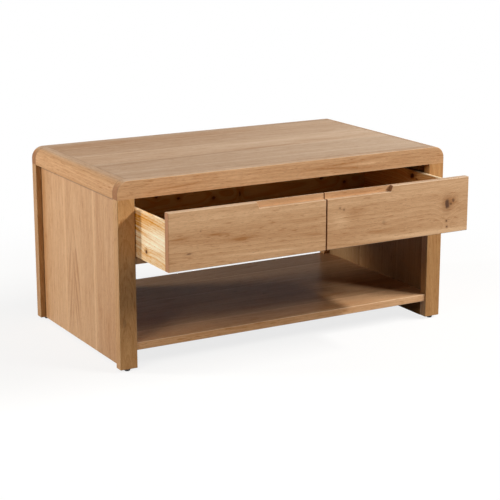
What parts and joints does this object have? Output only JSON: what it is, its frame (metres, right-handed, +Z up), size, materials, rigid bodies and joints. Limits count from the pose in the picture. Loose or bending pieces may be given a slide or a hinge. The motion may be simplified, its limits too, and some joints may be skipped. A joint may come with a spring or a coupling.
{
  "type": "coffee table",
  "caption": "Low oak coffee table with rounded top corners, recessed side panels, an open shelf and a wide pine drawer behind a split front with a finger notch.",
  "frame": {"origin": "on the floor, in the middle of the footprint with the drawer pulled out as it rests", "axes": "+X along the table, to the right seen from the front, +Y from the front to the back, +Z up"},
  "size_m": [1, 0.7404, 0.496],
  "materials": {
    "oak": "oiled oak, satin",
    "pine": "pale knotty pine, matt",
    "thin_board": "thin board, matt",
    "glide": "black, matt"
  },
  "bodies": {
    "frame": {"front_right_leg": "oak", "front_left_leg": "oak", "rear_right_leg": "oak", "rear_left_leg": "oak", "front_right_glide": "glide", "front_left_glide": "glide", "rear_right_glide": "glide", "rear_left_glide": "glide", "front_top_rail": "oak", "rear_top_rail": "oak", "right_end_rail": "oak", "left_end_rail": "oak", "top_panel": "oak", "right_side_panel": "oak", "left_side_panel": "oak", "shelf": "oak", "right_shelf_bearer": "oak", "left_shelf_bearer": "oak", "front_drawer_rail": "oak", "rear_drawer_rail": "oak", "right_runner": "pine", "left_runner": "pine", "centre_runner": "pine", "right_kicker": "pine", "left_kicker": "pine", "back_panel": "thin_board", "right_drawer_stop": "pine", "left_drawer_stop": "pine"},
    "drawer": {"drawer_front_right": "oak", "drawer_front_left": "oak", "drawer_inner_front": "pine", "drawer_side_right": "pine", "drawer_side_left": "pine", "drawer_back": "pine", "drawer_muntin": "pine", "drawer_bottom_right": "thin_board", "drawer_bottom_left": "thin_board"}
  },
  "joints": [
    {"name": "drawer_slide", "type": "slide", "parent": "frame", "child": "drawer", "axis": [0, -1, 0], "range_m": [-0.1795, 0.12]}
  ]
}
